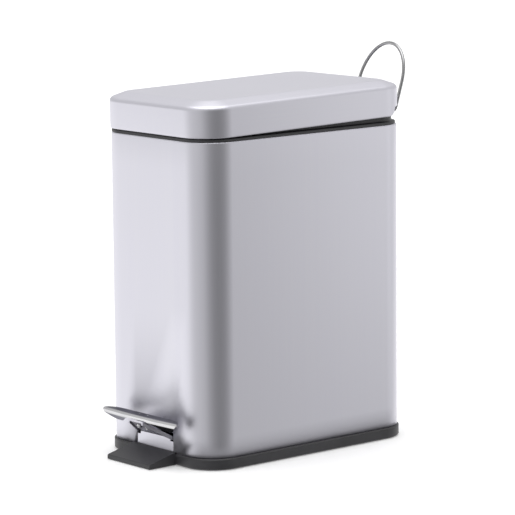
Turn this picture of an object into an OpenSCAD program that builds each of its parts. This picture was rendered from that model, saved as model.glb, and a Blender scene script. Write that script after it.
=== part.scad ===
// Slim rectangular pedal bin: steel shell and lid, plastic base, rim and inner bucket, with a lever,
// a push rod and a hinge at the back. The origin is on the floor under the middle of the body,
// +Z is up, +Y is the hinge side and the pedal is at -Y.

/* [Body] */
// Width of the steel body
body_w = 130; // [125:1:140]
// Depth of the steel body
body_d = 204; // [200:1:208]
// Corner radius of the body
body_r = 25; // [22:0.5:30]
// Height of the steel body's top edge
body_top = 247; // [246:0.5:248]
// Thickness of the sheet steel
sheet = 0.8; // [0.6:0.1:1]

/* [Base] */
// Height of the base tray's outer wall
base_h = 9; // [8:0.5:9.5]
// How far the base tray stands out past the steel
base_proud = 1.5; // [1:0.1:2]
// Half width of the moulded foot under the pedal
foot_half = 26; // [24:0.5:30]
// How far the foot reaches in front of the steel
foot_reach = 26; // [20:1:28]

/* [Lid] */
// Height of the lid's straight skirt
skirt_h = 23; // [21:0.5:24]
// Height of the lid's shallow bevel above the skirt
bevel_h = 4.4; // [3:0.2:6]
// Width of the bevel
bevel_in = 12.4; // [10:0.2:14]
// Lean of the closed lid, lower at the front
lid_lean = 1.2; // [0.8:0.1:1.4]
// How far the lid's skirt stands out past the body
lid_proud = 0.8; // [0.6:0.1:1]
// How far the lid opens
lid_open = 70; // [60:1:70]

/* [Handle] */
// Diameter of the handle wire
wire_d = 2.6; // [2.2:0.1:2.8]
// Height of the handle above the hinge line
handle_h = 59.5; // [50:0.5:65]
// Half width of the handle where its arch begins
handle_half = 24.3; // [22:0.1:26]
// Lean of the handle at rest, away from the lid
handle_lean = 17; // [10:1:25]

/* [Pedal] */
// Half width of the pedal plate
pedal_half = 43; // [38:1:46]
// Half width of the lever where it passes the front wall
lever_wall_half = 21.4; // [20:0.2:21.6]
// Half width of the lever's front end
lever_tip_half = 9; // [8:0.5:11]

/* [Hidden] */
$fn = 48;

steel = [0.80, 0.79, 0.82];
chrome = [0.88, 0.88, 0.90];
zinc = [0.62, 0.66, 0.70];
black = [0.13, 0.13, 0.15];
grey = [0.35, 0.35, 0.37];
nylon = [0.90, 0.90, 0.86];

half_w = body_w / 2;
half_d = body_d / 2;
shell_z = 3;                        // lower edge of the steel, down in the base tray's groove
floor_z = 4;                        // top of the base tray's floor
rib_z = 7;                          // top of its ribs
ring_z = 0.5;                       // underside of the base tray's edge, held up by the rubber feet

hinge_y = 121;                      // lid hinge line
hinge_z = 246;
axle_r = 2;
run = 0.06;                         // radial running clearance
cheek_in = 11;                      // inner face of the housing's cheeks
cheek_out = 15;
ear_in = 6;                         // the lid bracket's two ears
ear_out = 8;
notch_half = 10.5;                  // notch in the back wall for the ears

rod_y = 97.5;                       // push rod, just inside the back wall
rod_r = 2;
push_angle = lid_open / 2;          // push bar starts this far below the hinge line
push_r = (hinge_y - rod_y) / cos(push_angle);
bar_r = 2.5;
bar_z = hinge_z - push_r * sin(push_angle);
cap_gap = 1.2;                      // lost motion between rod cap and push bar
cap_top = bar_z - bar_r - cap_gap;
cap_h = 6;
guide_z = [80, 190];                // heights of the two rod guides
guide_x = 6.5;                      // their rivets
housing_screw = [9, 214];           // x and z of the housing's screws

pivot_y = -66;                      // pedal lever pivot
pivot_z = 12;
pin_r = 2;
bracket_screw_x = [-13.8, 13.8];
bracket_screw_y = [-72, -60];
lever_t = 2;                        // lever sheet
lever_end_z = 9.5;                  // top of the lever's back end
shoe_gap = 0.4;
shoe_r = 3.5;
shoe_z = lever_end_z + shoe_gap;
shoe_h = 9;
lever_bar_half = 8;
lever_wall_z = 21.9;                // top of the lever where it passes the front wall
lever_tip = [-120.6, 33.5];         // top of its front end, y and z
stud_x = 5;                         // studs between lever and pedal plate
stud_y = -112.5;
stud_r = 1.25;

plate_top = 36.8;                   // pedal plate, a strip curled down and under along its front
plate_t = 1.2;
curl_r = 4.8;
curl_y = -116.6;
curl_z = plate_top - curl_r;
plate_back = -109.6;

slot_half = 22.5;                   // slot in the front wall, open below behind the base tray's edge
slot_high = 24.5;
shutter_gap = 0.35;

lip_h = 2.2;                        // rim collar
lip_in = 0.6;
lip_shift = -0.5;
wall_out = 4;
wall_t = 1.8;
wall_top = 262;
wall_low = 236;

bucket_half = 57.5;                 // inner bucket
bucket_front = -95.5;
bucket_back = 87.5;
bucket_r = 19;
bucket_t = 1.6;
bucket_low = 46;

lid_bottom = 249.5;                 // lid skirt's lower edge at the front
lid_w = body_w + 2 * lid_proud;
lid_d = body_d + 2 * lid_proud;
lid_r = body_r + lid_proud;
relief_h = 6.6;                     // how much shorter the skirt is at the back
relief_y = lid_d / 2 - lid_r * 0.55;
pad_local = skirt_h + bevel_h - sheet;
bend_r = 4;                         // outside radius of the lid sheet's bends
slope = atan2(bevel_h, bevel_in);
top_z = skirt_h + bevel_h;
knee = bend_r * tan((90 - slope) / 2);
crest_r = 12;
crest = crest_r * tan(slope / 2);
bracket_rivet_y = [58, 74];

arch_z = 29;                        // where the handle's arch begins, above the hinge line
handle_leg = [[16.6, 3.4], [16.6, 7], [25.6, 4.6], [25.2, 11]];
eye_r = 4.6;
eye_x = 15.3;
eye_t = 2.6;

// Outlines

module rounded(w, d, r) {
    square([w - 2 * r, d], center = true);
    square([w, d - 2 * r], center = true);
    for (sx = [-1, 1], sy = [-1, 1])
        translate([sx * (w / 2 - r), sy * (d / 2 - r)]) circle(r);
}

module slab(w, d, r, z0, z1) {
    translate([0, 0, z0]) linear_extrude(z1 - z0) rounded(w, d, r);
}

// A closed band round a rounded rectangle. The children are its section: x is the distance outward
// from the outline, y is height.
module band(w, d, r) {
    for (sx = [-1, 1], sy = [-1, 1])
        translate([sx * (w / 2 - r), sy * (d / 2 - r), 0])
            rotate([0, 0, sx > 0 ? (sy > 0 ? 0 : -90) : (sy > 0 ? 90 : 180)])
                rotate_extrude(angle = 90) translate([r, 0]) children();
    for (s = [-1, 1]) {
        translate([s * w / 2, -s * (d / 2 - r), 0]) rotate([90, 0, s > 0 ? 0 : 180])
            mirror([0, 0, 1]) linear_extrude(d - 2 * r) children();
        translate([s * (w / 2 - r), s * d / 2, 0]) rotate([90, 0, s > 0 ? 90 : -90])
            mirror([0, 0, 1]) linear_extrude(w - 2 * r) children();
    }
}

// A bar between two points of the y-z plane, with round ends, across x from x0 to x1
module link(a, b, width, x0, x1) {
    len = norm(b - a);
    translate([x0, 0, 0]) rotate([90, 0, 90]) linear_extrude(x1 - x0) {
        translate(a) circle(width / 2);
        translate(b) circle(width / 2);
        translate(a) rotate(atan2(b[1] - a[1], b[0] - a[0]))
            translate([0, -width / 2]) square([len, width]);
    }
}

module along_x(r, x0, x1, y, z) {
    translate([x0, y, z]) rotate([0, 90, 0]) cylinder(r = r, h = x1 - x0);
}

module block(x0, x1, y0, y1, z0, z1) {
    translate([x0, y0, z0]) cube([x1 - x0, y1 - y0, z1 - z0]);
}

// A profile in the y-z plane, across x from -half to half
module across(half) {
    translate([-half, 0, 0]) rotate([90, 0, 90]) linear_extrude(2 * half) children();
}

// Places shared by several pieces

module at_housing_screws(y) {
    for (s = [-1, 1]) translate([s * housing_screw[0], y, housing_screw[1]]) children();
}

module at_guide_rivets(y) {
    for (s = [-1, 1], z = guide_z) translate([s * guide_x, y, z]) rotate([90, 0, 0]) children();
}

module at_bracket_screws(z) {
    for (x = bracket_screw_x, y = bracket_screw_y) translate([x, y, z]) children();
}

// Body

module outer_shell() color(steel) {
    difference() {
        union() {
            difference() {
                slab(body_w, body_d, body_r, shell_z, body_top - 1);
                slab(body_w - 2 * sheet, body_d - 2 * sheet, body_r - sheet, shell_z - 1, body_top);
            }
            band(body_w, body_d, body_r) translate([-1.3, body_top - 1.3]) circle(1.3);
        }
        block(-slot_half, slot_half, -half_d - 1, -half_d + 3, shell_z - 1, slot_high - 1);
        block(-slot_half + 1, slot_half - 1, -half_d - 1, -half_d + 3, slot_high - 2, slot_high);
        for (s = [-1, 1]) translate([s * (slot_half - 1), -half_d + 3, slot_high - 1])
            rotate([90, 0, 0]) cylinder(r = 1, h = 4);
        block(-notch_half, notch_half, half_d - 4, half_d + 1, 224, body_top + 1);
        at_housing_screws(half_d + 1) rotate([90, 0, 0]) cylinder(r = 1.55, h = 3);
        at_guide_rivets(half_d + 1) cylinder(r = 1.05, h = 3);
    }
}

module base_tray() color(black) {
    edge = 0.9;
    difference() {
        union() {
            slab(body_w, body_d, body_r, 2, shell_z);
            slab(body_w - 3, body_d - 3, body_r - 1.5, 2, floor_z);
            band(body_w, body_d, body_r) polygon([
                [0.1, ring_z], [base_proud - edge, ring_z], [base_proud, ring_z + edge],
                [base_proud, base_h - edge], [base_proud - edge, base_h], [0.1, base_h]]);
            band(body_w, body_d, body_r) polygon([[-3, ring_z], [0.1, ring_z], [0.1, shell_z], [-3, shell_z]]);
            band(body_w, body_d, body_r) polygon([[-2.6, 2], [-1, 2], [-1, 8], [-2.6, 8]]);
            across(foot_half) polygon([
                [-half_d - 0.5, ring_z], [-half_d - foot_reach, ring_z], [-half_d - foot_reach, 3.4],
                [-half_d - foot_reach + 0.6, 4], [-half_d - 1, 10], [-half_d - 0.1, 10], [-half_d - 0.1, 5]]);
            for (s = [-1, 1]) {
                for (y = [-40, 0, 40, 80]) block(s * 38 - 20, s * 38 + 20, y - 1, y + 1, shell_z, rib_z);
                block(s * 18 - 1, s * 18 + 1, -40, 80, shell_z, rib_z);
            }
        }
        block(-slot_half - 0.7, slot_half + 0.7, -half_d, -half_d + 5, 0, 12);
        at_bracket_screws(1) cylinder(r = 1.3, h = 4);
    }
}

// Four pads at the corners and one under the middle of the floor
module rubber_feet() color(grey) for (p = [[-47, -84], [47, -84], [-47, 84], [47, 84], [0, 0]])
    translate([p[0], p[1], 0]) {
        cylinder(r1 = 7, r2 = 7.5, h = 0.8);
        translate([0, 0, 0.8]) cylinder(r = 7.5, h = 1.2);
    }

module rim_collar() color(black) difference() {
    union() {
        translate([0, lip_shift, 0]) band(body_w, body_d, body_r) polygon([
            [-lip_in - 4.6, body_top], [-lip_in, body_top], [-lip_in, body_top + lip_h - 1],
            [-lip_in - 0.4, body_top + lip_h - 0.3], [-lip_in - 1, body_top + lip_h],
            [-lip_in - 4.6, body_top + lip_h]]);
        band(body_w, body_d, body_r) polygon([
            [-wall_out - wall_t, wall_low], [-wall_out, wall_low], [-wall_out, wall_top],
            [-wall_out - wall_t, wall_top]]);
    }
    block(-notch_half, notch_half, half_d - 9, half_d + 2, wall_low - 1, wall_top + 1);
}

module inner_bucket() color(grey) {
    d = bucket_back - bucket_front;
    mid = (bucket_back + bucket_front) / 2;
    difference() {
        union() {
            translate([0, mid, 0]) slab(2 * bucket_half, d, bucket_r, bucket_low, wall_top + 2);
            slab(body_w - 8.4, body_d - 8.4, body_r - 4.2, wall_top, wall_top + 2);
        }
        translate([0, mid, 0]) slab(2 * (bucket_half - bucket_t), d - 2 * bucket_t, bucket_r - bucket_t,
            bucket_low + 2, wall_top + 3);
        block(-notch_half, notch_half, bucket_back, half_d, wall_top - 1, wall_top + 3);
        for (s = [-1, 1]) translate([s * (half_w - wall_out), 0, wall_top - 1]) cylinder(r = 9, h = 4);
    }
    translate([0, mid, bucket_low + 2]) for (s = [-1, 1]) block(-30, 30, s * 30 - 1, s * 30 + 1, -0.5, 1.2);
}

// Hinge at the back

module hinge_housing() color(black) difference() {
    union() {
        for (s = [-1, 1]) {
            x0 = s > 0 ? cheek_in : -cheek_out;
            translate([x0, 0, 0]) rotate([90, 0, 90]) linear_extrude(cheek_out - cheek_in) {
                polygon([[half_d, 206], [half_d + 14, 206], [hinge_y + 4.5, 216], [hinge_y + 4.5, hinge_z],
                    [hinge_y, hinge_z + 4.5], [half_d + 2, hinge_z + 4.5], [half_d + 2, body_top],
                    [half_d, body_top]]);
                translate([hinge_y, hinge_z]) circle(4.5);
            }
        }
        block(-cheek_in, cheek_in, half_d, half_d + 2.5, 206, 223);
    }
    along_x(axle_r, -cheek_out - 1, cheek_out + 1, hinge_y, hinge_z);
    at_housing_screws(half_d + 3) rotate([90, 0, 0]) cylinder(r = 1.3, h = 4);
}

module hinge_cover() color(black) {
    back = hinge_y + 4.5;
    top = hinge_z - 6;
    across(cheek_in - 0.15) polygon([
        [half_d + 2.6, 206], [half_d + 14, 206], [back, 216], [back, top], [back - 2, top],
        [back - 2, 216.8], [half_d + 13.2, 208], [half_d + 2.6, 208]]);
}

module housing_screws() color(zinc) at_housing_screws(half_d) rotate([-90, 0, 0]) {
    translate([0, 0, -sheet - 0.6]) cylinder(r = 1.25, h = 3.7 + sheet - 0.4);
    difference() {
        translate([0, 0, -sheet - 2.4]) cylinder(r = 2.8, h = 1.8);
        translate([0, 0, -sheet - 2.6]) for (a = [0, 90]) rotate(a) cube([3, 0.7, 1.4], center = true);
    }
}

module screw_washers() color(zinc) at_housing_screws(half_d - sheet - 0.6) rotate([-90, 0, 0]) difference() {
    cylinder(r = 3.8, h = 0.6);
    translate([0, 0, -1]) cylinder(r = 1.4, h = 3);
}

module hinge_axle() color(chrome) along_x(axle_r, -19, 19, hinge_y, hinge_z);

module axle_spacers() color(nylon) for (s = [-1, 1]) difference() {
    mirror([s < 0 ? 1 : 0, 0, 0]) along_x(3.6, ear_out + 0.1, cheek_in - 0.1, hinge_y, hinge_z);
    along_x(axle_r + run, -cheek_in, cheek_in, hinge_y, hinge_z);
}

module axle_caps() color(chrome) for (s = [-1, 1]) mirror([s < 0 ? 1 : 0, 0, 0])
    translate([18.2, hinge_y, hinge_z]) rotate([0, 90, 0]) difference() {
        union() {
            cylinder(r = 3.6, h = 0.9);
            translate([0, 0, 0.9]) cylinder(r1 = 3.2, r2 = 2.2, h = 0.9);
        }
        translate([0, 0, -1]) cylinder(r = axle_r, h = 1.8);
    }

// Lid. It is drawn flat and then leaned about its front edge.

module leaned() {
    translate([0, -lid_d / 2, lid_bottom]) rotate([lid_lean, 0, 0]) translate([0, lid_d / 2, 0]) children();
}

function bend(cx, cz, r, a0, a1, n) = [for (i = [0 : n]) let (a = a0 + (a1 - a0) * i / n)
    [cx + r * cos(a), cz + r * sin(a)]];

function lid_section(t) = concat(
    [[-t, 0], [0, 0]],
    bend(-bend_r, skirt_h - knee, bend_r, 0, 90 - slope, 6),
    bend(-bevel_in - crest, top_z - crest_r, crest_r, 90 - slope, 90, 4),
    bend(-bevel_in - crest, top_z - crest_r, crest_r - t, 90, 90 - slope, 4),
    bend(-bend_r, skirt_h - knee, bend_r - t, 90 - slope, 0, 6));

module lid_shell() color(steel) leaned() difference() {
    union() {
        band(lid_w, lid_d, lid_r) polygon(lid_section(sheet));
        inset = bevel_in + crest - 0.02;
        slab(lid_w - 2 * inset, lid_d - 2 * inset, lid_r - inset, top_z - sheet, top_z);
    }
    block(-lid_w, lid_w, relief_y, lid_d, -1, relief_h);
    difference() {
        block(-lid_w, lid_w, relief_y - relief_h, relief_y + 0.01, -1, relief_h);
        along_x(relief_h, -lid_w, lid_w, relief_y - relief_h, relief_h);
        block(-lid_w, lid_w, relief_y - relief_h - 1, relief_y - relief_h, -1, relief_h);
    }
}

// One ear of the lid bracket, as a y-z outline: a limb up into the lid and a tail down to the push bar
module ear_outline() {
    polygon([[hinge_y, hinge_z + 4.2], [108, 258], [98, 261], [87, 278.4], [82, 278.4], [93, 254.5],
        [104, 251], [hinge_y - 3, hinge_z - 3]]);
    translate([hinge_y, hinge_z]) {
        circle(5);
        rotate(180 + push_angle) translate([0, -3.4]) square([push_r, 6.8]);
    }
    translate([rod_y, bar_z]) circle(4);
}

module lid_bracket() color(zinc) difference() {
    union() {
        for (x0 = [-ear_out, ear_in]) translate([x0, 0, 0]) rotate([90, 0, 90]) linear_extrude(2) ear_outline();
        leaned() block(-ear_out, ear_out, 50, 87.5, pad_local - 2, pad_local);
    }
    along_x(axle_r + run, -20, 20, hinge_y, hinge_z);
    along_x(bar_r - 0.5, -20, 20, rod_y, bar_z);
    leaned() for (y = bracket_rivet_y) translate([0, y, pad_local - 4]) cylinder(r = 1.5, h = 6);
}

module lid_rivets() color(zinc) leaned() for (y = bracket_rivet_y) translate([0, y, 0]) {
    translate([0, 0, pad_local - 3.4]) cylinder(r1 = 2.4, r2 = 3, h = 1.4);
    translate([0, 0, pad_local - 2]) cylinder(r = 1.5, h = 2);
}

module push_bar() color(chrome) {
    along_x(bar_r, -ear_in, ear_in, rod_y, bar_z);
    along_x(bar_r - 0.5, -ear_out - 0.8, ear_out + 0.8, rod_y, bar_z);
}

module lid_buffers() color(grey) leaned() for (s = [-1, 1])
    block(s * 30 - 6, s * 30 + 6, -lid_d / 2 + sheet, -lid_d / 2 + sheet + 2.4, 0, 4);

// Carrying handle: one wire, bent in a leaned plane through the hinge line

function bezier(p, t) = pow(1 - t, 3) * p[0] + 3 * t * pow(1 - t, 2) * p[1] + 3 * t * t * (1 - t) * p[2]
    + pow(t, 3) * p[3];

half_path = concat(
    [for (i = [0 : 10]) bezier(handle_leg, i / 10)],
    [for (i = [0 : 18]) let (a = 90 * i / 18) [handle_half * cos(a), arch_z + (handle_h - arch_z) * sin(a)]]);
handle_path = concat(half_path, [for (i = [len(half_path) - 2 : -1 : 0]) [-half_path[i][0], half_path[i][1]]]);

module wire(path, r, sides) {
    n = len(path);
    function dir(i) = let (d = path[min(i + 1, n - 1)] - path[max(i - 1, 0)]) d / norm(d);
    points = [for (i = [0 : n - 1], k = [0 : sides - 1])
        let (a = 360 * k / sides, d = dir(i)) [
            path[i][0] - d[1] * r * cos(a), -r * sin(a), path[i][1] + d[0] * r * cos(a)]];
    faces = concat(
        [[for (k = [0 : sides - 1]) k]],
        [for (i = [0 : n - 2], k = [0 : sides - 1]) let (m = (k + 1) % sides)
            [i * sides + k, (i + 1) * sides + k, (i + 1) * sides + m, i * sides + m]],
        [[for (k = [sides - 1 : -1 : 0]) (n - 1) * sides + k]]);
    polyhedron(points, faces, convexity = 4);
}

module carry_handle() color(chrome) {
    translate([0, hinge_y, hinge_z]) rotate([-handle_lean, 0, 0]) wire(handle_path, wire_d / 2, 12);
    for (x0 = [-eye_x - eye_t, eye_x]) difference() {
        along_x(eye_r, x0, x0 + eye_t, hinge_y, hinge_z);
        along_x(axle_r + run, x0 - 1, x0 + 4, hinge_y, hinge_z);
    }
}

// Pedal

// The lever is one stamping: a wide front end rising to the pedal plate, and a narrow bar to the back
module lever_plan() {
    polygon([
        [-lever_tip_half, lever_tip[0]], [lever_tip_half, lever_tip[0]],
        [lever_wall_half, -half_d], [lever_wall_half, -94], [lever_bar_half, -80], [lever_bar_half, 99],
        [-lever_bar_half, 99], [-lever_bar_half, -80], [-lever_wall_half, -94], [-lever_wall_half, -half_d]]);
}

function lever_line(drop) = [
    [lever_tip[0], lever_tip[1] - drop], [-half_d, lever_wall_z - drop], [-94, 20 - drop],
    [pivot_y, 16.5 - drop], [99, lever_end_z - drop]];

module lever_sheet(drop) {
    top = lever_line(0);
    low = lever_line(drop);
    across(lever_wall_half + 1) polygon(concat(top, [for (i = [4 : -1 : 0]) low[i]]));
}

module pedal_lever() color(zinc) difference() {
    union() {
        intersection() {
            translate([0, 0, -5]) linear_extrude(60) lever_plan();
            lever_sheet(lever_t);
        }
        intersection() {
            difference() {
                translate([0, 0, -5]) linear_extrude(60) lever_plan();
                translate([0, 0, -6]) linear_extrude(62) scale([0.86, 1, 1]) lever_plan();
            }
            lever_sheet(3.4);
            block(-30, 30, -121, -92, 0, 60);
        }
        for (x0 = [-lever_bar_half, lever_bar_half - 2])
            link([pivot_y, 15], [pivot_y, pivot_z], 8, x0, x0 + 2);
    }
    along_x(pin_r + 1, -20, 20, pivot_y, pivot_z);
    for (s = [-1, 1]) translate([s * stud_x, stud_y, 20]) cylinder(r = stud_r, h = 20);
}

// A blind welded under the lever, which closes the slot in the front wall
module slot_shutter() color(steel) {
    half = slot_half - shutter_gap;
    face = -half_d + 0.35;
    difference() {
        union() {
            block(-half, half, face, face + sheet, 8.4, 17.4);
            block(-18.2, 18.2, face, face + sheet, 17, lever_wall_z - 1);
        }
        lever_sheet(lever_t);
    }
}

module lever_bushes() color(nylon) for (s = [-1, 1]) difference() {
    along_x(pin_r + 1, s > 0 ? 6 : -8.4, s > 0 ? 8.4 : -6, pivot_y, pivot_z);
    along_x(pin_r + run, -20, 20, pivot_y, pivot_z);
}

// The plate is a strip curled down and under along its front. Each wing of the curl has a lobe.
module pedal_plate() color(chrome) difference() {
    intersection() {
        across(pedal_half + 2) {
            translate([curl_y, plate_top - plate_t]) square([plate_back - curl_y, plate_t]);
            translate([curl_y, curl_z]) difference() {
                circle(curl_r);
                circle(curl_r - plate_t);
                translate([0, -2 * curl_r]) square([2 * curl_r, 4 * curl_r]);
                rotate(-15) translate([0, -2 * curl_r]) square(2 * curl_r);
            }
        }
        translate([0, -100, 0]) rotate([90, 0, 0]) linear_extrude(22) for (s = [-1, 1]) scale([s, 1]) polygon([
            [-1, 38], [-1, 33.8], [lever_tip_half + 0.6, 33.8], [12, 33], [15.5, 31.6], [20, 29.6],
            [25, 27.8], [29, 26.9], [33, 27.4], [37, 29.2], [40.5, 31.8], [pedal_half, 34.2],
            [pedal_half + 1.6, 35.6], [pedal_half + 1.6, 36.2], [pedal_half - 20, 37.2], [10, 38]]);
        linear_extrude(50) for (s = [-1, 1]) scale([s, 1]) polygon([
            [-1, -124], [pedal_half + 2, -124], [pedal_half + 1, -118.8], [pedal_half - 1.5, -115.6],
            [pedal_half - 5, -112.4], [pedal_half - 10, -110.2], [pedal_half - 16, -108.6], [-1, -108.6]]);
    }
    for (s = [-1, 1]) translate([s * stud_x, stud_y, 30]) cylinder(r = stud_r, h = 10);
}

// Shouldered studs, riveted under the lever and flush in the plate
module pedal_rivets() color(chrome) for (s = [-1, 1]) {
    translate([s * stud_x, stud_y, 23.6]) cylinder(r = stud_r, h = plate_top - 23.6 - 0.1);
    translate([s * stud_x, stud_y, 23.6]) cylinder(r1 = 1.6, r2 = 2, h = 0.8);
    difference() {
        translate([s * stud_x, stud_y, 24]) cylinder(r = 2.6, h = plate_top - plate_t - 24 - 0.05);
        across(12) polygon([lever_tip, [-half_d, lever_wall_z], [-half_d, 10], [lever_tip[0], 10]]);
    }
}

module pivot_bracket() color(zinc) difference() {
    union() {
        block(-17, 17, -76, -56, floor_z, floor_z + 1.5);
        for (x0 = [-11, 9]) difference() {
            union() {
                link([pivot_y, floor_z + 3], [pivot_y, pivot_z], 12, x0, x0 + 2);
                block(x0, x0 + 2, pivot_y - 8, pivot_y + 8, floor_z, floor_z + 2.5);
            }
            block(x0 - 1, x0 + 3, pivot_y - 10, pivot_y + 10, -5, floor_z);
        }
    }
    along_x(pin_r, -20, 20, pivot_y, pivot_z);
    at_bracket_screws(floor_z - 1) cylinder(r = 1.5, h = 4);
}

module bracket_screws() color(zinc) at_bracket_screws(0) {
    translate([0, 0, 2]) cylinder(r = 1.3, h = 3.5);
    difference() {
        translate([0, 0, floor_z + 1.5]) cylinder(r1 = 2.5, r2 = 1.9, h = 1.3);
        translate([0, 0, floor_z + 2.6]) for (a = [0, 90]) rotate(a) cube([2.6, 0.6, 1], center = true);
    }
}

module pivot_pin() color(chrome) along_x(pin_r, -13.5, 13.5, pivot_y, pivot_z);

module pin_clips() color(zinc) for (x0 = [-12.7, 11.9]) difference() {
    along_x(3.6, x0, x0 + 0.8, pivot_y, pivot_z);
    along_x(pin_r, x0 - 1, x0 + 2, pivot_y, pivot_z);
    block(x0 - 1, x0 + 2, pivot_y - 1.2, pivot_y + 1.2, pivot_z, pivot_z + 5);
}

module lever_buffer() color(grey) translate([0, 84, floor_z]) cylinder(r1 = 6, r2 = 5, h = 3.2);

module push_rod() color(zinc) translate([0, rod_y, shoe_z + 4])
    cylinder(r = rod_r, h = cap_top - 3 - shoe_z - 4);

module rod_shoe() color(nylon) translate([0, rod_y, shoe_z]) difference() {
    union() {
        translate([0, 0, shoe_r]) sphere(shoe_r);
        translate([0, 0, shoe_r]) cylinder(r = shoe_r, h = shoe_h - shoe_r);
    }
    translate([0, 0, 4]) cylinder(r = rod_r, h = shoe_h);
}

module rod_cap() color(nylon) difference() {
    block(-5, 5, 90.8, 100.8, cap_top - cap_h, cap_top);
    translate([0, rod_y, cap_top - cap_h - 1]) cylinder(r = rod_r, h = cap_h - 2);
}

module rod_guides() color(nylon) for (z = guide_z) difference() {
    union() {
        block(-10, 10, half_d - sheet - 1.6, half_d - sheet, z - 5, z + 5);
        block(-4.5, 4.5, rod_y - 4, half_d - sheet, z - 5, z + 5);
    }
    translate([0, rod_y, z - 6]) cylinder(r = rod_r + run, h = 12);
    at_guide_rivets(half_d) cylinder(r = 1.05, h = 4);
}

module guide_rivets() color(zinc) at_guide_rivets(half_d) {
    cylinder(r = 1, h = sheet + 1.6);
    translate([0, 0, sheet + 1.6]) cylinder(r1 = 1.9, r2 = 1.2, h = 0.8);
    translate([0, 0, -0.5]) cylinder(r1 = 1.4, r2 = 2, h = 0.5);
}

outer_shell();
base_tray();
rubber_feet();
rim_collar();
inner_bucket();
hinge_housing();
hinge_cover();
housing_screws();
screw_washers();
hinge_axle();
axle_spacers();
axle_caps();
rod_guides();
guide_rivets();
pivot_bracket();
bracket_screws();
pivot_pin();
pin_clips();
lever_buffer();
lid_shell();
lid_bracket();
lid_rivets();
push_bar();
lid_buffers();
carry_handle();
pedal_lever();
slot_shutter();
lever_bushes();
pedal_plate();
pedal_rivets();
push_rod();
rod_shoe();
rod_cap();
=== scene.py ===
"""A slim pedal bin: satin steel body and lid, black plastic base and rim, chromed pedal and carrying handle."""
import math

import bpy
from mathutils import Matrix, Vector


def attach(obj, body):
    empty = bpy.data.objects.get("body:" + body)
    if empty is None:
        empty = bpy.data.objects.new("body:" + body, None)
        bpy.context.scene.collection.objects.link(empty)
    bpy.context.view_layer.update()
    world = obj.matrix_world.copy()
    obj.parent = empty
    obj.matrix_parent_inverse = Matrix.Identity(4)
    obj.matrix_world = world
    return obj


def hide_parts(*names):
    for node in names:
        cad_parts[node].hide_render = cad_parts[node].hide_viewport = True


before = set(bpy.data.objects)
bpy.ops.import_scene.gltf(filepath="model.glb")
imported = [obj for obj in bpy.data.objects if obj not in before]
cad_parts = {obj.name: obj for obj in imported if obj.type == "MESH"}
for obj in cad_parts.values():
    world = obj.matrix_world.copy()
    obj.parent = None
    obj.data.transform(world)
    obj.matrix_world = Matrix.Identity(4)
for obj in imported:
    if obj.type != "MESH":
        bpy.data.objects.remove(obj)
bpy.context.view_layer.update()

# Camera: a long lens a little above the lid, looking at the corner between the pedal side and the long side. It is
# rolled by half a degree.
AIM = Vector((-0.0008, 0.0019, 0.1445))
CAMERA_TURN, CAMERA_RISE, CAMERA_ROLL = math.radians(50.02), math.radians(8.917), math.radians(-0.516)
CAMERA_DISTANCE, LENS_MM, SENSOR_MM = 2.2785, 205.15, 36

camera_data = bpy.data.cameras.new("camera")
camera_data.lens, camera_data.sensor_width = LENS_MM, SENSOR_MM
camera = bpy.data.objects.new("camera", camera_data)
bpy.context.scene.collection.objects.link(camera)
bpy.context.scene.camera = camera
backward = Vector((
    math.sin(CAMERA_TURN) * math.cos(CAMERA_RISE),
    -math.cos(CAMERA_TURN) * math.cos(CAMERA_RISE),
    math.sin(CAMERA_RISE)))
level_right = Vector((math.cos(CAMERA_TURN), math.sin(CAMERA_TURN), 0))
level_up = backward.cross(level_right)
across = level_right * math.cos(CAMERA_ROLL) + level_up * math.sin(CAMERA_ROLL)
upward = level_up * math.cos(CAMERA_ROLL) - level_right * math.sin(CAMERA_ROLL)
camera.matrix_world = Matrix.Translation(AIM + backward * CAMERA_DISTANCE) @ (
    Matrix((across, upward, backward)).transposed().to_4x4())


# Base tray: one black polypropylene moulding under the steel, with a flat foot in front of it below the pedal.
# Its edge stands a little proud of the steel. Five soft pads are pressed into its underside.
class Wire:
    """An output of a shader node. Arithmetic on it adds Math nodes."""

    def __init__(self, wiring, socket):
        self.wiring, self.socket = wiring, socket

    def maths(self, operation, first, second):
        return self.wiring.node("ShaderNodeMath", {"operation": operation}, [first, second])

    def __add__(self, other):
        return self.maths("ADD", self, other)

    def __sub__(self, other):
        return self.maths("SUBTRACT", self, other)

    def __rsub__(self, other):
        return self.maths("SUBTRACT", other, self)

    def __mul__(self, other):
        return self.maths("MULTIPLY", self, other)

    __radd__, __rmul__ = __add__, __mul__


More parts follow.
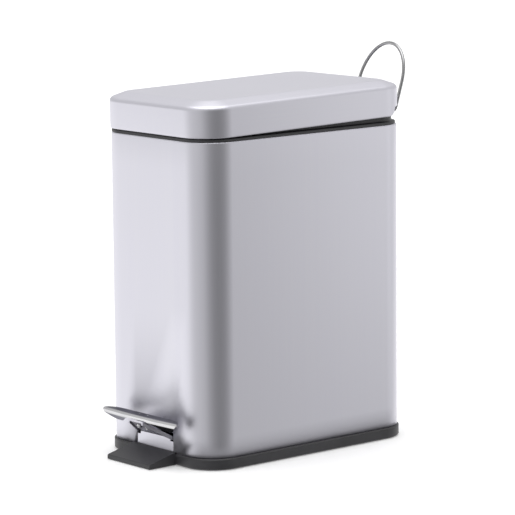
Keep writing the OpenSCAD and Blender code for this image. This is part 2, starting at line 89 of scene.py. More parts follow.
class Wiring:
    """A tree of shader nodes being wired up. place holds the coordinates that its textures use."""

    def __init__(self, tree, coordinates):
        self.tree = tree
        self.place = self.node("ShaderNodeTexCoord", {}, {}, coordinates)

    def node(self, kind, settings, inputs, output=0):
        """Adds a node of any kind. inputs is a list in the order of its sockets, or values by socket."""
        made = self.tree.nodes.new(kind)
        for key, value in settings.items():
            setattr(made, key, value)
        for key, value in enumerate(inputs) if isinstance(inputs, list) else inputs.items():
            self.feed(made.inputs[key], value)
        return Wire(self, made.outputs[output])

    def feed(self, socket, value):
        if isinstance(value, Wire):
            self.tree.links.new(value.socket, socket)
        else:
            socket.default_value = value

    def noise(self, grain, detail=2.0, rough=0.5):
        """Noise from 0 to 1. grain is how many ripples it has per metre along each axis."""
        stretched = self.node("ShaderNodeVectorMath", {"operation": "MULTIPLY"}, [self.place, grain])
        return self.node("ShaderNodeTexNoise", {}, {
            "Vector": stretched, "Scale": 1.0, "Detail": detail, "Roughness": rough})

    def ramp(self, value, low, high):
        """0 where value is at low and 1 where it is at high."""
        limits = [value, low, high, 0.0, 1.0]
        return self.node("ShaderNodeMapRange", {"interpolation_type": "SMOOTHSTEP"}, limits)

    def mix(self, share, first, second):
        """The first colour where share is 0 and the second where it is 1."""
        return self.node("ShaderNodeMix", {"data_type": "RGBA"}, {0: share, 6: first, 7: second}, 2)

    def relief(self, height, depth, strength):
        """A surface raised by height times depth metres."""
        return self.node("ShaderNodeBump", {}, {"Height": height, "Distance": depth, "Strength": strength})


class Finish(Wiring):
    """A material being made round its Principled shader. fixed holds the values that don't vary over it."""

    def __init__(self, name, fixed):
        self.material = bpy.data.materials.new(name)
        self.material.use_nodes = True
        super().__init__(self.material.node_tree, "Object")
        self.shader = next(n for n in self.tree.nodes if n.type == "BSDF_PRINCIPLED")
        for socket, value in fixed.items():
            self.shader.inputs[socket].default_value = value

    def put(self, **sockets):
        """Feeds the shader's sockets, named with _ for a space, and returns the material."""
        for name, value in sockets.items():
            self.feed(self.shader.inputs[name.replace("_", " ")], value)
        return self.material


def grey(value, blue=0.0):
    """A nearly neutral colour, a little bluer by the share blue."""
    return (value * (1 - blue * 0.5), value * (1 - blue * 0.7), value * (1 + blue), 1.0)


def moulded_plastic(name, colour, rough, grain_depth):
    """Injection moulded plastic: spark-eroded grain, faint flow marks and handling shine."""
    finish = Finish(name, {"Specular IOR Level": 0.45})
    grain = finish.noise((1500, 1500, 1500), detail=3.0, rough=0.6)
    flow = finish.noise((26, 26, 60), detail=3.0, rough=0.55)
    tone = finish.ramp(flow * 0.75 + grain * 0.25, low=0.3, high=0.7)
    return finish.put(
        Base_Color=finish.mix(tone, grey(colour * 0.82, 0.06), grey(colour * 1.2, 0.06)),
        Roughness=rough - 0.05 + flow * 0.12,
        Normal=finish.relief(grain, depth=grain_depth, strength=0.5))


def dress(material, slot, *nodes, edge=0.0):
    """Gives CAD nodes that stay a material and edges eased to a radius in millimetres. slot is not used."""
    for name in nodes:
        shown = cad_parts[name]
        shown.data.materials.clear()
        shown.data.materials.append(material)
        if edge:
            ease_edges(shown, edge)


MM = 0.001
JOIN_GAP, EASE_STEPS, EASE_FROM = 0.06, 2, math.radians(38)


def ease_edges(shown, radius):
    """Joins the skin, rounds its sharp edges by radius millimetres and evens out the shading."""
    weld = shown.modifiers.new("join", "WELD")
    weld.merge_threshold = JOIN_GAP * MM
    rounding = shown.modifiers.new("ease", "BEVEL")
    rounding.width, rounding.segments = radius * MM, EASE_STEPS
    rounding.limit_method, rounding.angle_limit = "ANGLE", EASE_FROM
    even = shown.modifiers.new("even", "WEIGHTED_NORMAL")
    even.keep_sharp = True


black_plastic = moulded_plastic("black_plastic", colour=0.034, rough=0.45, grain_depth=0.00003)
dress(black_plastic, "black_plastic", "base_tray", edge=0.8)

soft_rubber = moulded_plastic("soft_rubber", colour=0.06, rough=0.8, grain_depth=0.00005)
dress(soft_rubber, "rubber", "rubber_feet", edge=0.2)


# Lever pivot: a zinc plated bracket screwed to the tray, with a turned pin and two clips. A rubber button stops
# the lever's tail.
def plated_steel(name, light, rough):
    """Blue zinc plate: a fine crystalline bloom, drawing lines and cloudy patches."""
    finish = Finish(name, {"Metallic": 1.0})
    bloom = finish.noise((420, 420, 420), detail=4.0, rough=0.65)
    cloud = finish.noise((55, 38, 55), detail=3.0, rough=0.5)
    tone = finish.ramp(bloom * 0.4 + cloud * 0.6, low=0.32, high=0.68)
    return finish.put(
        Base_Color=finish.mix(tone, grey(light * 0.84, 0.09), grey(light * 1.06, 0.04)),
        Roughness=rough - 0.06 + cloud * 0.16,
        Normal=finish.relief(bloom, depth=0.00002, strength=0.35))


zinc_plate = plated_steel("zinc_plate", light=0.66, rough=0.4)
dress(zinc_plate, "zinc_steel", "pivot_bracket", edge=0.3)
dress(zinc_plate, "zinc_steel", "bracket_screws", "pin_clips", edge=0.12)


def chrome_plate(name, light, rough):
    """Bright chrome over polished steel: faint polishing lines, breath-thin haze and fingerprints."""
    finish = Finish(name, {"Metallic": 1.0, "Specular Tint": (0.25, 0.25, 0.28, 1.0)})
    haze = finish.noise((70, 70, 70), detail=3.0, rough=0.6)
    lines = finish.noise((900, 240, 900), detail=2.0, rough=0.5)
    mark = finish.ramp(haze, low=0.45, high=0.75)
    return finish.put(
        Base_Color=finish.mix(mark, grey(light, 0.01), grey(light * 0.93, 0.02)),
        Roughness=rough + mark * 0.06 + lines * 0.03,
        Normal=finish.relief(lines, depth=0.000008, strength=0.2))


bright_chrome = chrome_plate("bright_chrome", light=0.66, rough=0.08)
dress(bright_chrome, "bright_chrome", "pivot_pin", edge=0.3)
dress(soft_rubber, "rubber", "lever_buffer", edge=0.3)


# Outer shell: satin steel sheet rolled into a tube with rounded corners and brushed upright. Its top edge is
# rolled inward. The front has the lever's slot and the back a notch for the lid's bracket.
BODY_HALF_W, BODY_HALF_D, BODY_R = 65.0, 102.0, 25.0
BODY_LOW, BODY_MIDDLE, BODY_TOP, SHEET = 3.0, 120.0, 247.0, 0.8
BEAD_R, BEAD_TURN, BEAD_STEP = 1.3, 270, 18
SLOT_HALF, SLOT_HIGH = 22.3, 24.5
NOTCH_HALF, NOTCH_LOW = 10.5, 224.0
CORNER_STEPS = 16


def path_round(half_w, half_d, r, front=(), back=(), sides=()):
    """Points and outward directions round a rounded rectangle, from the middle of the back by way of +X.
    front, back and sides list extra stops, as x on the short sides and as y on the long ones."""
    def corner(sx, sy, start):
        mid_x, mid_y = sx * (half_w - r), sy * (half_d - r)
        turns = [math.radians(start - 90 * i / CORNER_STEPS) for i in range(CORNER_STEPS + 1)]
        return [(mid_x + r * math.cos(a), mid_y + r * math.sin(a), math.cos(a), math.sin(a)) for a in turns]
    down = sorted(sides, reverse=True)
    return (
        [(x, half_d, 0.0, 1.0) for x in sorted(x for x in back if x > 0)] + corner(1, 1, 90)
        + [(half_w, y, 1.0, 0.0) for y in down] + corner(1, -1, 0)
        + [(x, -half_d, 0.0, -1.0) for x in sorted(front, reverse=True)] + corner(-1, -1, -90)
        + [(-half_w, y, -1.0, 0.0) for y in reversed(down)] + corner(-1, 1, -180)
        + [(x, half_d, 0.0, 1.0) for x in sorted(x for x in back if x < 0)])


def piece(name, points, faces, material, smooth=40):
    """An object from points in millimetres, shaded smooth except at creases sharper than smooth degrees."""
    mesh = bpy.data.meshes.new(name)
    mesh.from_pydata([Vector(p) * MM for p in points], [], faces)
    mesh.validate()
    mesh.materials.append(material)
    mesh.shade_smooth()
    mesh.set_sharp_from_angle(angle=math.radians(smooth))
    made = bpy.data.objects.new(name, mesh)
    bpy.context.scene.collection.objects.link(made)
    return made


def settle(made, slot, body, *stands_for):
    """Gives a new piece a body to move with and hides the CAD nodes that it replaces. slot is not used."""
    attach(made, body)
    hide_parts(*stands_for)


def brushed_steel(name, grain, light=0.735, rough=0.42):
    """Satin steel brushed along one axis. grain is the ripples per metre along each axis."""
    finish = Finish(name, {"Metallic": 1.0})
    streak = finish.noise(grain, detail=2.0, rough=0.5)
    wide = finish.noise(tuple(g / 9 for g in grain), detail=2.0, rough=0.5)
    cloud = finish.noise((9, 9, 9), detail=2.0, rough=0.5)
    tone = finish.ramp(streak * 0.5 + wide * 0.25 + cloud * 0.25, low=0.3, high=0.7)
    return finish.put(
        Base_Color=finish.mix(tone, grey(light * 0.99, 0.055), grey(light * 1.01, 0.045)),
        Roughness=rough - 0.03 + streak * 0.05 + cloud * 0.02,
        Normal=finish.relief(streak, depth=0.000004, strength=0.12))


upright_steel = brushed_steel("upright_steel", (2600, 2600, 16))

tube = path_round(
    BODY_HALF_W, BODY_HALF_D, BODY_R, front=(-SLOT_HALF, SLOT_HALF), back=(-NOTCH_HALF, NOTCH_HALF))
rolled = [
    (BEAD_R * (math.cos(math.radians(a)) - 1), BODY_TOP - BEAD_R + BEAD_R * math.sin(math.radians(a)))
    for a in range(0, BEAD_TURN + 1, BEAD_STEP)]
rows = [(0.0, BODY_LOW), (0.0, SLOT_HIGH), (0.0, BODY_MIDDLE), (0.0, NOTCH_LOW)] + rolled
shell_points = [(x + nx * out, y + ny * out, z) for out, z in rows for x, y, nx, ny in tube]
shell_faces = []
for row in range(len(rows) - 1):
    up = rows[row][1]
    for stop in range(len(tube)):
        after = (stop + 1) % len(tube)
        in_front = tube[stop][1] == tube[after][1] == -BODY_HALF_D
        middle = (tube[stop][0] + tube[after][0]) / 2
        front_slot = up < SLOT_HIGH and in_front and abs(middle) < SLOT_HALF
        back_notch = up >= NOTCH_LOW and after == 0
        if not front_slot and not back_notch:
            low, high = row * len(tube), (row + 1) * len(tube)
            shell_faces.append((low + after, low + stop, high + stop, high + after))
outer_shell = piece("steel_tube", shell_points, shell_faces, upright_steel)
sheet_metal = outer_shell.modifiers.new("sheet", "SOLIDIFY")
sheet_metal.thickness, sheet_metal.offset, sheet_metal.use_even_offset = SHEET * MM, -1, True
settle(outer_shell, "satin_steel", "body", "outer_shell")

# Rod guides: two natural nylon blocks riveted inside the back wall, one above the other. The push rod slides
# through them.
natural_nylon = moulded_plastic("natural_nylon", colour=0.62, rough=0.45, grain_depth=0.00002)
dress(natural_nylon, "nylon", "rod_guides", edge=0.3)
dress(zinc_plate, "zinc_steel", "guide_rivets", edge=0.12)

# Rim collar: a black moulded ring over the shell's rolled edge. It carries the bucket and stands up inside the lid.
# It is open at the back for the lid's bracket. Its visible lip sits half a millimetre forward.
LIP_SHIFT = -0.5
collar_section = [
    (-0.6, 247.15, 1), (-0.6, 248.3, 1), (-0.75, 248.75, 1), (-1.1, 249.1, 1), (-1.6, 249.2, 1),
    (-3.4, 249.25, 0.5), (-3.85, 249.5, 0), (-4.0, 250.0, 0), (-4.0, 261.4, 0), (-4.15, 261.85, 0),
    (-4.5, 262.0, 0), (-5.3, 262.0, 0), (-5.65, 261.85, 0), (-5.8, 261.4, 0), (-5.8, 236.5, 0),
    (-5.6, 236.1, 0), (-4.2, 236.1, 0), (-4.0, 236.5, 0), (-4.0, 246.5, 0), (-3.8, 247.0, 0.3),
    (-3.0, 247.05, 1), (-0.9, 247.05, 1)]


def swept_ring(stops, section, closed):
    """Points and faces of a section carried round stops. Each section entry is outward, up and its share of the
    lip's shift. An open ring gets an end face at each end."""
    points = [(x + nx * out, y + ny * out + share * LIP_SHIFT, z)
              for x, y, nx, ny in stops for out, z, share in section]
    count = len(section)
    faces = []
    for stop in range(len(stops) if closed else len(stops) - 1):
        here, there = stop * count, ((stop + 1) % len(stops)) * count
        faces += [
            (here + i, here + (i + 1) % count, there + (i + 1) % count, there + i) for i in range(count)]
    if not closed:
        last = (len(stops) - 1) * count
        faces += [tuple(reversed(range(count))), tuple(range(last, last + count))]
    return points, faces


collar_points, collar_faces = swept_ring(tube, collar_section, False)
rim_collar = piece("rim_ring", collar_points, collar_faces, black_plastic, smooth=50)
settle(rim_collar, "black_plastic", "body", "rim_collar")

# Hinge at the back: a black moulded housing held by two screws with washers, and its snap-in cover. A chromed axle
# with caps and spacers is pressed into it.
dress(black_plastic, "black_plastic", "hinge_housing", "hinge_cover", edge=0.35)
dress(zinc_plate, "zinc_steel", "housing_screws", "screw_washers", edge=0.12)
dress(bright_chrome, "bright_chrome", "hinge_axle", "axle_caps", edge=0.25)
dress(natural_nylon, "nylon", "axle_spacers", edge=0.15)

# Lever: one zinc plated stamping, wide where it leaves the wall and narrower under the plate, with its sides turned
# down. Behind the wall it is a narrow bar. Two lugs carry nylon bushes on the pivot pin. A steel blind welded under
# it closes the slot in the front wall.
LEVER_T, LEVER_BEND, INNER_BEND, PIVOT_Y, PIVOT_Z = 1.6, 0.7, 0.3, -66.0, 12.0
LUG_X, LUG_T, LUG_R, BORE_R, LUG_RISE, LUG_STEPS = (-8.0, 6.0), 2.0, 4.0, 3.0, 3.0, 32
lever_stops = [
    (-120.6, 8.8, 33.5, 3.0), (-120.0, 9.3, 33.13, 3.2), (-114.0, 13.1, 29.38, 3.2), (-108.0, 17.2, 25.64, 3.2),
    (-104.0, 19.9, 23.15, 3.2), (-102.0, 21.3, 21.9, 3.2), (-100.5, 21.4, 21.5, 3.4), (-94.0, 21.4, 20.0, 3.4),
    (-87.0, 14.7, 19.1, 2.6), (-80.0, 8.0, 18.2, 2.0), (-66.0, 8.0, 16.5, 2.0), (99.0, 8.0, 9.5, 2.0)]
bend_turns = [math.radians(a) for a in (0, 30, 60, 90)]


def lever_section(half, top, side):
    """The stamping's outline at one stop: over the outside, then back along the inside."""
    low, inner, under = top - side, half - LEVER_T, top - LEVER_T
    outside = [(half, low)] + [
        (half - LEVER_BEND + LEVER_BEND * math.cos(a), top - LEVER_BEND + LEVER_BEND * math.sin(a))
        for a in bend_turns]
    inside = [(inner, low), (inner, under - INNER_BEND), (inner - INNER_BEND, under)]
    return (
        outside + [(-x, z) for x, z in reversed(outside)]
        + [(-x, z) for x, z in inside] + list(reversed(inside)))


lever_points, lever_faces = [], []
for y, half, top, side in lever_stops:
    lever_points += [(x, y, z) for x, z in lever_section(half, top, side)]
count = len(lever_points) // len(lever_stops)
for stop in range(len(lever_stops) - 1):
    here, there = stop * count, (stop + 1) * count
    lever_faces += [(here + i, there + i, there + (i + 1) % count, here + (i + 1) % count) for i in range(count)]
lever_faces += [tuple(range(count)), tuple(reversed(range(len(lever_points) - count, len(lever_points))))]
for lug_x in LUG_X:
    base = len(lever_points)
    for x in (lug_x, lug_x + LUG_T):
        for r, rise in ((LUG_R, LUG_RISE), (BORE_R, 0.0)):
            for a in (2 * math.pi * i / LUG_STEPS for i in range(LUG_STEPS)):
                z = PIVOT_Z + r * math.sin(a) + (rise if math.sin(a) > 0 else 0)
                lever_points.append((x, PIVOT_Y + r * math.cos(a), z))
    for i in range(LUG_STEPS):
        j = (i + 1) % LUG_STEPS
        edge, bore, far_edge, far_bore = (
            (base + k * LUG_STEPS + i, base + k * LUG_STEPS + j) for k in range(4))
        lever_faces += [
            (edge[0], bore[0], bore[1], edge[1]), (far_edge[0], far_edge[1], far_bore[1], far_bore[0]),
            (edge[0], edge[1], far_edge[1], far_edge[0]), (bore[0], far_bore[0], far_bore[1], bore[1])]
pedal_lever = piece("lever_stamping", lever_points, lever_faces, zinc_plate)
settle(pedal_lever, "zinc_steel", "pedal", "pedal_lever")
dress(upright_steel, "satin_steel", "slot_shutter", edge=0.15)
dress(natural_nylon, "nylon", "lever_bushes", edge=0.15)

# Studs: two turned and chromed studs join the lever to the pedal plate. Each has a low head under the lever and a
# collar above it.
STUD_X, STUD_Y, STUD_STEPS = 5.0, -112.5, 28
stud_outline = [
    (0.0, 25.5), (1.1, 25.6), (1.7, 25.8), (1.9, 26.1), (1.9, 26.7), (1.25, 26.7), (1.25, 27.4), (2.6, 27.4),
    (2.6, 35.2), (2.45, 35.4), (1.25, 35.4), (1.25, 36.7), (1.1, 36.85), (0.0, 36.9)]
stud_points, stud_faces = [], []
for x in (-STUD_X, STUD_X):
    low_tip = len(stud_points)
    for r, z in stud_outline:
        stud_points += [
            (x + r * math.cos(a), STUD_Y + r * math.sin(a), z)
            for a in ((2 * math.pi * i / STUD_STEPS for i in range(STUD_STEPS)) if r else (0.0,))]
    first, rings = low_tip + 1, len(stud_outline) - 2
    last, top_tip = first + (rings - 1) * STUD_STEPS, first + rings * STUD_STEPS
    for i in range(STUD_STEPS):
        j = (i + 1) % STUD_STEPS
        stud_faces.append((low_tip, first + j, first + i))
        for low in range(first, last, STUD_STEPS):
            high = low + STUD_STEPS
            stud_faces.append((low + i, low + j, high + j, high + i))
        stud_faces.append((last + i, last + j, top_tip))
pedal_studs = piece("plate_studs", stud_points, stud_faces, bright_chrome)
settle(pedal_studs, "bright_chrome", "pedal", "pedal_rivets")

# Pedal plate: a chromed strip, bowed a little in plan, with its front edge folded down. Each wing of the fold has a
# lobe turned back underneath, and the middle is relieved for the lever.
FOLD_Y, PLATE_TOP, PLATE_T, CROWN, BOW = -117.8, 36.8, 1.2, 0.2, 2.2
FOLD_R, FACE_H, LOBE_R, LOBE_TURN = 1.9, 1.2, 1.5, math.radians(50)
PLATE_EASE, PLATE_EASE_STEPS, PLATE_EASE_FROM = 0.4, 3, math.radians(50)
wing_stops = [0, 9, 12, 16, 20, 25, 30, 34, 38, 41, 43.3, 44.6]
wing_start = [-7.8, -7.8, -7.8, -7.7, -7.6, -7.4, -7.0, -6.4, -5.2, -3.6, -1.4, 1.4]
wing_end = [4.2, 4.2, 4.7, 6.4, 9.2, 12.0, 12.6, 12.2, 9.8, 6.6, 4.4, 3.0]


def eased(stops, values, x):
    """A smooth curve through values at stops."""
    def rise(k):
        before, after = max(k - 1, 0), min(k + 1, len(stops) - 1)
        return (values[after] - values[before]) / (stops[after] - stops[before])

    i = max(0, min(len(stops) - 2, sum(s <= x for s in stops) - 1))
    width = stops[i + 1] - stops[i]
    t = (x - stops[i]) / width
    return (
        (2 * t ** 3 - 3 * t ** 2 + 1) * values[i] + (t ** 3 - 2 * t ** 2 + t) * width * rise(i)
        + (3 * t ** 2 - 2 * t ** 3) * values[i + 1] + (t ** 3 - t ** 2) * width * rise(i + 1))


def on_fold(x, along, depth):
    """The point of the plate at a length along its section from the fold's start, depth below its outer skin."""
    out = (x / wing_stops[-1]) ** 2
    y, z = FOLD_Y + BOW * out, PLATE_TOP - CROWN * out
    if along < 0:
        return (x, y - along, z - depth)
    r, down = FOLD_R - depth, along - FOLD_R * math.pi / 2
    if down < 0:
        return (x, y - r * math.sin(along / FOLD_R), z - FOLD_R + r * math.cos(along / FOLD_R))
    if down < FACE_H:
        return (x, y - r, z - FOLD_R - down)
    r, turn = LOBE_R - depth, min((down - FACE_H) / LOBE_R, LOBE_TURN)
    under = down - FACE_H - turn * LOBE_R
    return (x, y - FOLD_R + LOBE_R - r * math.cos(turn) + under * math.sin(turn),
            z - FOLD_R - FACE_H - r * math.sin(turn) - under * math.cos(turn))


WING_COLUMNS, WING_ROWS = 84, 46
plate_points, plate_faces = [], []
for depth in (0.0, PLATE_T):
    for column in range(WING_COLUMNS + 1):
        x = wing_stops[-1] * math.sin(math.pi / 2 * (2 * column / WING_COLUMNS - 1))
        start, end = (eased(wing_stops, edge, abs(x)) for edge in (wing_start, wing_end))
        plate_points += [
            on_fold(x, start + (end - start) * row / WING_ROWS, depth) for row in range(WING_ROWS + 1)]
stride = WING_ROWS + 1
skin = (WING_COLUMNS + 1) * stride


def rim(a, b):
    """The face that joins the plate's two skins along the outer skin's edge from a to b."""
    return (a, b, skin + b, skin + a)


for column in range(WING_COLUMNS):
    back = column * stride
    front = back + WING_ROWS
    for a in range(back, front):
        b = a + stride
        plate_faces += [(a, a + 1, b + 1, b), (skin + b, skin + b + 1, skin + a + 1, skin + a)]
    plate_faces += [rim(back, back + stride), rim(front + stride, front)]
last_column = WING_COLUMNS * stride
for row in range(WING_ROWS):
    plate_faces += [rim(row + 1, row), rim(last_column + row, last_column + row + 1)]
pedal_plate = piece("folded_plate", plate_points, plate_faces, bright_chrome)
plate_edge = pedal_plate.modifiers.new("ease", "BEVEL")
plate_edge.width, plate_edge.segments = PLATE_EASE * MM, PLATE_EASE_STEPS
plate_edge.angle_limit = PLATE_EASE_FROM
settle(pedal_plate, "bright_chrome", "pedal", "pedal_plate")

# Push rod: a zinc plated wire inside the back wall, between the lever's tail and the lid. It has a nylon shoe at its
# foot and a nylon cap on top.
dress(zinc_plate, "zinc_steel", "push_rod", edge=0.2)
dress(natural_nylon, "nylon", "rod_shoe", "rod_cap", edge=0.2)

# Lid: a steel sheet pressed into a shallow pan with a bevelled top, hemmed along its lower edge. The skirt is cut
# back behind. It hangs on a riveted zinc plated bracket and closes on two rubber buffers.
LID_HALF_W, LID_HALF_D, LID_R, LID_LOW, LID_LEAN = 65.8, 102.8, 25.8, 249.5, math.radians(1.2)
SKIRT_H, BEVEL_H, BEVEL_IN, BEND_R, CREST_R = 23.0, 4.4, 12.4, 4.0, 12.0
HEM_TOP, FLAT_RIM, RELIEF_H, RELIEF_Y = 3.0, 2.5, 6.6, LID_HALF_D - LID_R * 0.55
bevel_slope = math.atan2(BEVEL_H, BEVEL_IN)
knee = BEND_R * math.tan((math.pi / 2 - bevel_slope) / 2)
crest = CREST_R * math.tan(bevel_slope / 2)
lid_height = SKIRT_H + BEVEL_H


def bend(x, z, r, start, stop, steps):
    """Points along an arc of the sheet's section."""
    turns = [start + (stop - start) * i / steps for i in range(steps + 1)]
    return [(x + r * math.cos(a), z + r * math.sin(a)) for a in turns]


upright = math.pi / 2
flat_in = -BEVEL_IN - crest - FLAT_RIM
lid_section = (
    [(flat_in, lid_height - SHEET)]
    + bend(-BEVEL_IN - crest, lid_height - CREST_R, CREST_R - SHEET, upright, upright - bevel_slope, 5)
    + bend(-BEND_R, SKIRT_H - knee, BEND_R - SHEET, upright - bevel_slope, 0, 8)
    + [(-SHEET, HEM_TOP), (-0.85, 2.4), (-1.45, 2.1), (-1.65, 1.6), (-1.65, 0.7), (-1.35, 0.2), (-0.85, 0.0),
       (-0.35, 0.15), (-0.05, 0.6), (0.0, 1.2), (0.0, HEM_TOP)]
    + bend(-BEND_R, SKIRT_H - knee, BEND_R, 0, upright - bevel_slope, 10)
    + bend(-BEVEL_IN - crest, lid_height - CREST_R, CREST_R, upright - bevel_slope, upright, 5)
    + [(flat_in, lid_height)])
lid_path = path_round(LID_HALF_W, LID_HALF_D, LID_R, sides=(0.0,))


def cut_back(y):
    """How far the skirt's lower edge is cut back at y."""
    short = y - (RELIEF_Y - RELIEF_H)
    if short <= 0:
        return 0.0
    return RELIEF_H if short >= RELIEF_H else RELIEF_H - math.sqrt(RELIEF_H ** 2 - short ** 2)


def leaned(x, y, z):
    """The closed lid leans forward about its front edge."""
    back = y + LID_HALF_D
    return (x, -LID_HALF_D + back * math.cos(LID_LEAN) - z * math.sin(LID_LEAN),
            LID_LOW + back * math.sin(LID_LEAN) + z * math.cos(LID_LEAN))


lid_points = [
    leaned(x + nx * out, y + ny * out, z + (cut_back(y + ny * out) if z <= HEM_TOP else 0.0))
    for x, y, nx, ny in lid_path for out, z in lid_section]
ring = len(lid_section)
around = len(lid_path)
lid_faces = [
    (stop * ring + i, stop * ring + i + 1, (stop + 1) % around * ring + i + 1, (stop + 1) % around * ring + i)
    for stop in range(around) for i in range(ring - 1)]
lid_faces += [tuple(stop * ring for stop in range(around)),
              tuple(stop * ring + ring - 1 for stop in reversed(range(around)))]
lengthwise_steel = brushed_steel("lengthwise_steel", (2600, 16, 2600))
lid_pan = piece("lid_pan", lid_points, lid_faces, lengthwise_steel)
settle(lid_pan, "satin_steel", "lid", "lid_shell")
dress(zinc_plate, "zinc_steel", "lid_bracket", edge=0.25)
dress(zinc_plate, "zinc_steel", "lid_rivets", edge=0.12)
dress(bright_chrome, "bright_chrome", "push_bar", edge=0.25)
dress(soft_rubber, "rubber", "lid_buffers", edge=0.4)

# Carrying handle: one length of chromed wire, bent into an eye round the axle at each end and into a tall arch
# between them. It leans back from the hinge.
HINGE_Y, HINGE_Z, HANDLE_LEAN, WIRE_R = 121.0, 246.0, math.radians(19.5), 1.3
EYE_X, EYE_R, ARCH_HALF, ARCH_Z, ARCH_TOP = 16.6, 3.38, 24.8, 29.0, 60.4
EYE_FROM, EYE_TO, EYE_STEP, ARCH_STEP = 70, 350, 14, 4
LEG_X, LEG_Z, LEG_STEPS, TIP_SHARE, WIRE_SIDES = 25.2, 12, 14, 0.75, 20
leg = [Vector(p) for p in ((EYE_X, EYE_R, 0), (EYE_X, EYE_R, 8.5), (25.5, 0.5, 4.2), (LEG_X, 0, LEG_Z))]
half_wire = [Vector((EYE_X, EYE_R * math.cos(a), EYE_R * math.sin(a)))
             for a in (math.radians(d) for d in range(EYE_FROM, EYE_TO + 1, EYE_STEP))]
half_wire += [
    leg[0] * (1 - t) ** 3 + leg[1] * 3 * t * (1 - t) ** 2 + leg[2] * 3 * t * t * (1 - t) + leg[3] * t ** 3
    for t in (i / LEG_STEPS for i in range(LEG_STEPS + 1))]
half_wire += [
    Vector((LEG_X + (ARCH_HALF - LEG_X) * i / 3, 0, LEG_Z + (ARCH_Z - LEG_Z) * i / 3)) for i in (1, 2)]
half_wire += [
    Vector((ARCH_HALF * math.cos(a), 0, ARCH_Z + (ARCH_TOP - ARCH_Z) * math.sin(a)))
    for a in (math.radians(d) for d in range(0, 91, ARCH_STEP))]
half_wire.append(Vector((0, 0, ARCH_TOP)))
wire_path = half_wire + [Vector((-p.x, p.y, p.z)) for p in reversed(half_wire[:-1])]


def round_wire(path, r, sides):
    """Points and faces of a round wire along path, a little thinner at its two ends."""
    points, faces, side = [], [], None
    for i, at in enumerate(path):
        along = (path[min(i + 1, len(path) - 1)] - path[max(i - 1, 0)]).normalized()
        side = along.orthogonal() if side is None else side - along * side.dot(along)
        side.normalize()
        other = along.cross(side)
        size = r * (TIP_SHARE if i in (0, len(path) - 1) else 1)
        points += [at + (side * math.cos(a) + other * math.sin(a)) * size
                   for a in (2 * math.pi * k / sides for k in range(sides))]
    last = (len(path) - 1) * sides
    for here in range(0, last, sides):
        there = here + sides
        faces += [
            (here + k, here + (k + 1) % sides, there + (k + 1) % sides, there + k) for k in range(sides)]
    return points, faces + [tuple(reversed(range(sides))), tuple(range(last, last + sides))]


handle_points, handle_faces = round_wire(wire_path, WIRE_R, WIRE_SIDES)
lean = Matrix.Rotation(-HANDLE_LEAN, 3, "X")
handle_points = [lean @ p + Vector((0, HINGE_Y, HINGE_Z)) for p in handle_points]
# The handle's chrome is the bright chrome given a darker colour: painted shade over the whole wire.
shaded_wire_chrome = chrome_plate("shaded_wire_chrome", light=0.42, rough=0.1)
carry_handle = piece("handle_wire", handle_points, handle_faces, shaded_wire_chrome, smooth=60)
settle(carry_handle, "bright_chrome", "handle", "carry_handle")

# Inner bucket: a dark grey plastic moulding, carried by the rim collar. It lifts out by the two finger hollows in
# its rim.
bucket_plastic = moulded_plastic("bucket_plastic", colour=0.05, rough=0.45, grain_depth=0.00003)
dress(bucket_plastic, "bucket_plastic", "inner_bucket", edge=0.5)

# Room: a pale floor in an even, soft studio, brighter overhead and low on the left of the bin, darker on the right
# and straight below. The floor gives off a little light and isn't mirrored in the metal. A soft panel stands behind
# the bin on the right.
FLOOR_HALF, FLOOR_GLOW = 12.0, 0.2


def pale_floor():
    """Matte white paper, very faintly mottled."""
    finish = Finish("pale_floor", {
        "Specular IOR Level": 0.1, "Emission Color": (1.0, 1.0, 1.0, 1.0), "Emission Strength": FLOOR_GLOW})
    mottle = finish.noise((3, 3, 3), detail=2.0, rough=0.5)
    return finish.put(Base_Color=finish.mix(mottle, (0.93, 0.93, 0.93, 1), (0.95, 0.95, 0.95, 1)), Roughness=0.9)


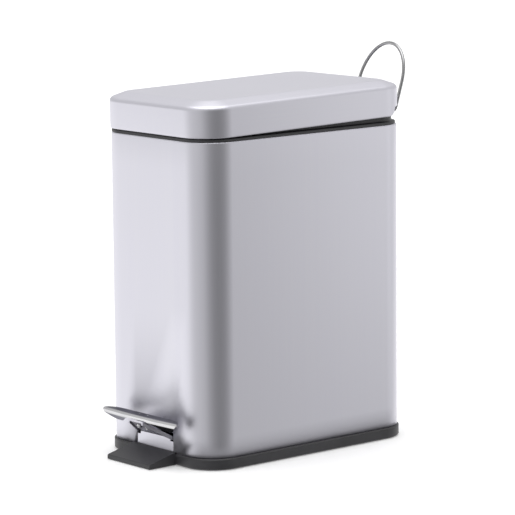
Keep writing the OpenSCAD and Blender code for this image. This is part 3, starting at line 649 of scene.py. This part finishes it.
floor_mesh = bpy.data.meshes.new("floor")
floor_mesh.from_pydata(
    [(x * FLOOR_HALF, y * FLOOR_HALF, 0) for x, y in ((-1, -1), (1, -1), (1, 1), (-1, 1))], [], [(0, 1, 2, 3)])
floor_mesh.materials.append(pale_floor())
floor = bpy.data.objects.new("floor", floor_mesh)
floor.visible_glossy = False
bpy.context.scene.collection.objects.link(floor)

RIGHT, LEFT, UP, DOWN = (0.966, -0.259, 0.0), (-0.966, 0.259, 0.0), (0.0, 0.0, 1.0), (0.0, 0.0, -1.0)
EVEN_LIGHT, LEFT_GLOW, OVERHEAD_GLOW, RIGHT_SHADE, UNDER_SHADE = 0.72, 0.58, 2.0, 0.5, 0.3
world = bpy.data.worlds.new("studio")
bpy.context.scene.world = world
world.use_nodes = True
studio = Wiring(world.node_tree, "Generated")


def toward(direction, low, high):
    """0 where the cosine of the angle from direction is low or less, and 1 where it is high or more."""
    ends = [studio.place, direction]
    return studio.ramp(studio.node("ShaderNodeVectorMath", {"operation": "DOT_PRODUCT"}, ends, "Value"), low, high)


light = (
    EVEN_LIGHT
    + toward(LEFT, low=-0.1, high=0.6) * toward(DOWN, low=-0.06, high=0.04) * LEFT_GLOW
    + toward(UP, low=0.76, high=1.0) * OVERHEAD_GLOW
    - toward(RIGHT, low=0.5, high=1.0) * RIGHT_SHADE
    - toward(DOWN, low=0.3, high=0.75) * UNDER_SHADE)
backdrop = world.node_tree.nodes["Background"]
studio.feed(backdrop.inputs["Strength"], light)
backdrop.inputs["Color"].default_value = (1, 1, 1, 1)

PANEL_AT, PANEL_AIM = Vector((0.62, 0.72, 0.22)), Vector((0.065, 0.08, 0.14))
PANEL_WIDE, PANEL_HIGH, PANEL_WATTS = 0.45, 0.6, 0.35
panel_data = bpy.data.lights.new("rear_panel", "AREA")
panel_data.shape, panel_data.size, panel_data.size_y = "RECTANGLE", PANEL_WIDE, PANEL_HIGH
panel_data.energy = PANEL_WATTS
rear_panel = bpy.data.objects.new("rear_panel", panel_data)
rear_panel.matrix_world = Matrix.Translation(PANEL_AT) @ (
    PANEL_AT - PANEL_AIM).to_track_quat("Z", "Y").to_matrix().to_4x4()
bpy.context.scene.collection.objects.link(rear_panel)
bpy.context.scene.view_settings.view_transform = "Standard"
